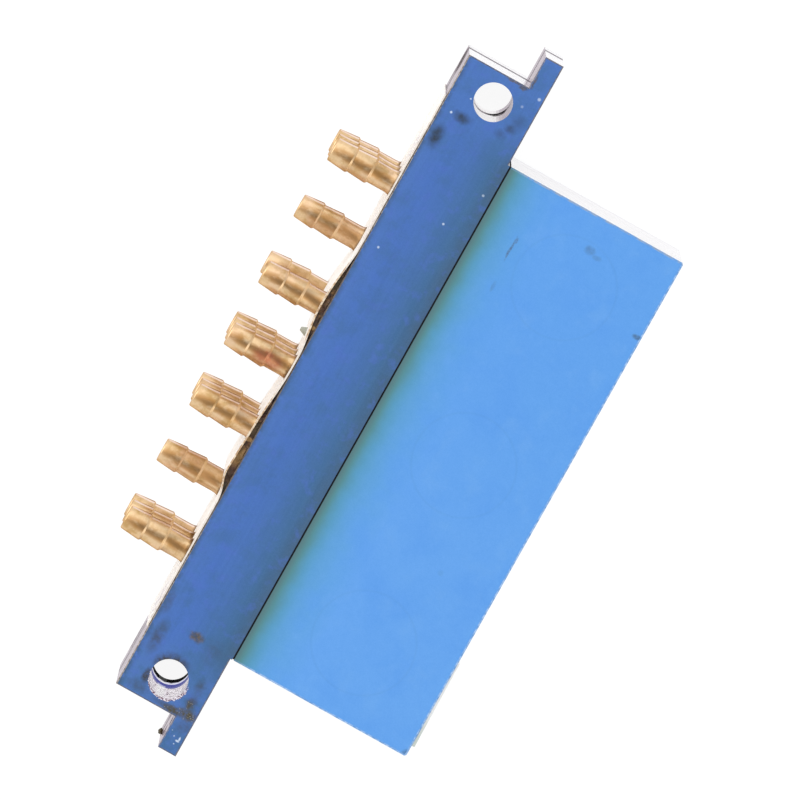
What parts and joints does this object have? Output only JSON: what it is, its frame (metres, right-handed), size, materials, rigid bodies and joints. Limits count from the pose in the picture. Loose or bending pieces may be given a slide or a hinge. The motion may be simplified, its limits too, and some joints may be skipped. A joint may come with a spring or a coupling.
{
  "type": "pneumatic logic block",
  "caption": "Narrow anodised bar with a mounting hole and tab at each end, rows of barbed brass hose nipples on one side and a rectangular valve housing on the other.",
  "frame": {"origin": "midway between the two mounting holes, on the back of the bar", "axes": "+Z along the mounting holes, away from the back; +Y along the bar; -X the nipple side"},
  "size_m": [0.0413, 0.09, 0.0205],
  "materials": {
    "blue_anodised": "satin blue anodised",
    "dark_blue_anodised": "satin dark blue anodised",
    "light_blue_anodised": "satin light blue anodised",
    "black_rubber": "matt",
    "steel": "zinc plated",
    "brass": "turned, dull with handling",
    "cream_film": "aged film",
    "brown_adhesive": "old dried adhesive",
    "grey_plastic": "moulded",
    "white_acetal": "turned",
    "clear_film": "clear film, slightly cloudy"
  },
  "bodies": {
    "block": {"base_front_plate": "blue_anodised", "base_middle_plate": "dark_blue_anodised", "base_rear_plate": "blue_anodised", "housing_gasket": "black_rubber", "valve_housing": "light_blue_anodised", "housing_screws": "steel", "port_sheet": "cream_film", "sheet_adhesive": "brown_adhesive", "locating_pin": "grey_plastic", "side_film": "clear_film", "hose_nipple_top_1": "brass", "hose_nipple_top_3": "brass", "hose_nipple_top_4": "brass", "hose_nipple_top_5": "brass", "hose_nipple_top_7": "brass", "hose_nipple_middle_1": "brass", "hose_nipple_middle_2": "brass", "hose_nipple_middle_4": "brass", "hose_nipple_middle_5": "brass", "hose_nipple_middle_6": "brass", "hose_nipple_middle_7": "brass", "hose_nipple_bottom_1": "brass", "hose_nipple_bottom_3": "brass", "hose_nipple_bottom_4": "brass", "hose_nipple_bottom_5": "brass", "hose_nipple_bottom_7": "brass", "lower_seat_1": "brass", "poppet_guide_1": "white_acetal", "upper_seat_1": "brass", "pilot_diaphragm_1": "black_rubber", "cell_plug_1": "light_blue_anodised", "lower_seat_2": "brass", "poppet_guide_2": "white_acetal", "upper_seat_2": "brass", "pilot_diaphragm_2": "black_rubber", "cell_plug_2": "light_blue_anodised", "lower_seat_3": "brass", "poppet_guide_3": "white_acetal", "upper_seat_3": "brass", "pilot_diaphragm_3": "black_rubber", "cell_plug_3": "light_blue_anodised"},
    "poppet_1": {"valve_poppet_1": "black_rubber"},
    "poppet_2": {"valve_poppet_2": "black_rubber"},
    "poppet_3": {"valve_poppet_3": "black_rubber"}
  },
  "joints": [
    {"name": "poppet_1_lift", "type": "slide", "parent": "block", "child": "poppet_1", "axis": [0, 0, 1], "range_m": [0, 0.001]},
    {"name": "poppet_2_lift", "type": "slide", "parent": "block", "child": "poppet_2", "axis": [0, 0, 1], "range_m": [0, 0.001]},
    {"name": "poppet_3_lift", "type": "slide", "parent": "block", "child": "poppet_3", "axis": [0, 0, 1], "range_m": [0, 0.001]}
  ]
}
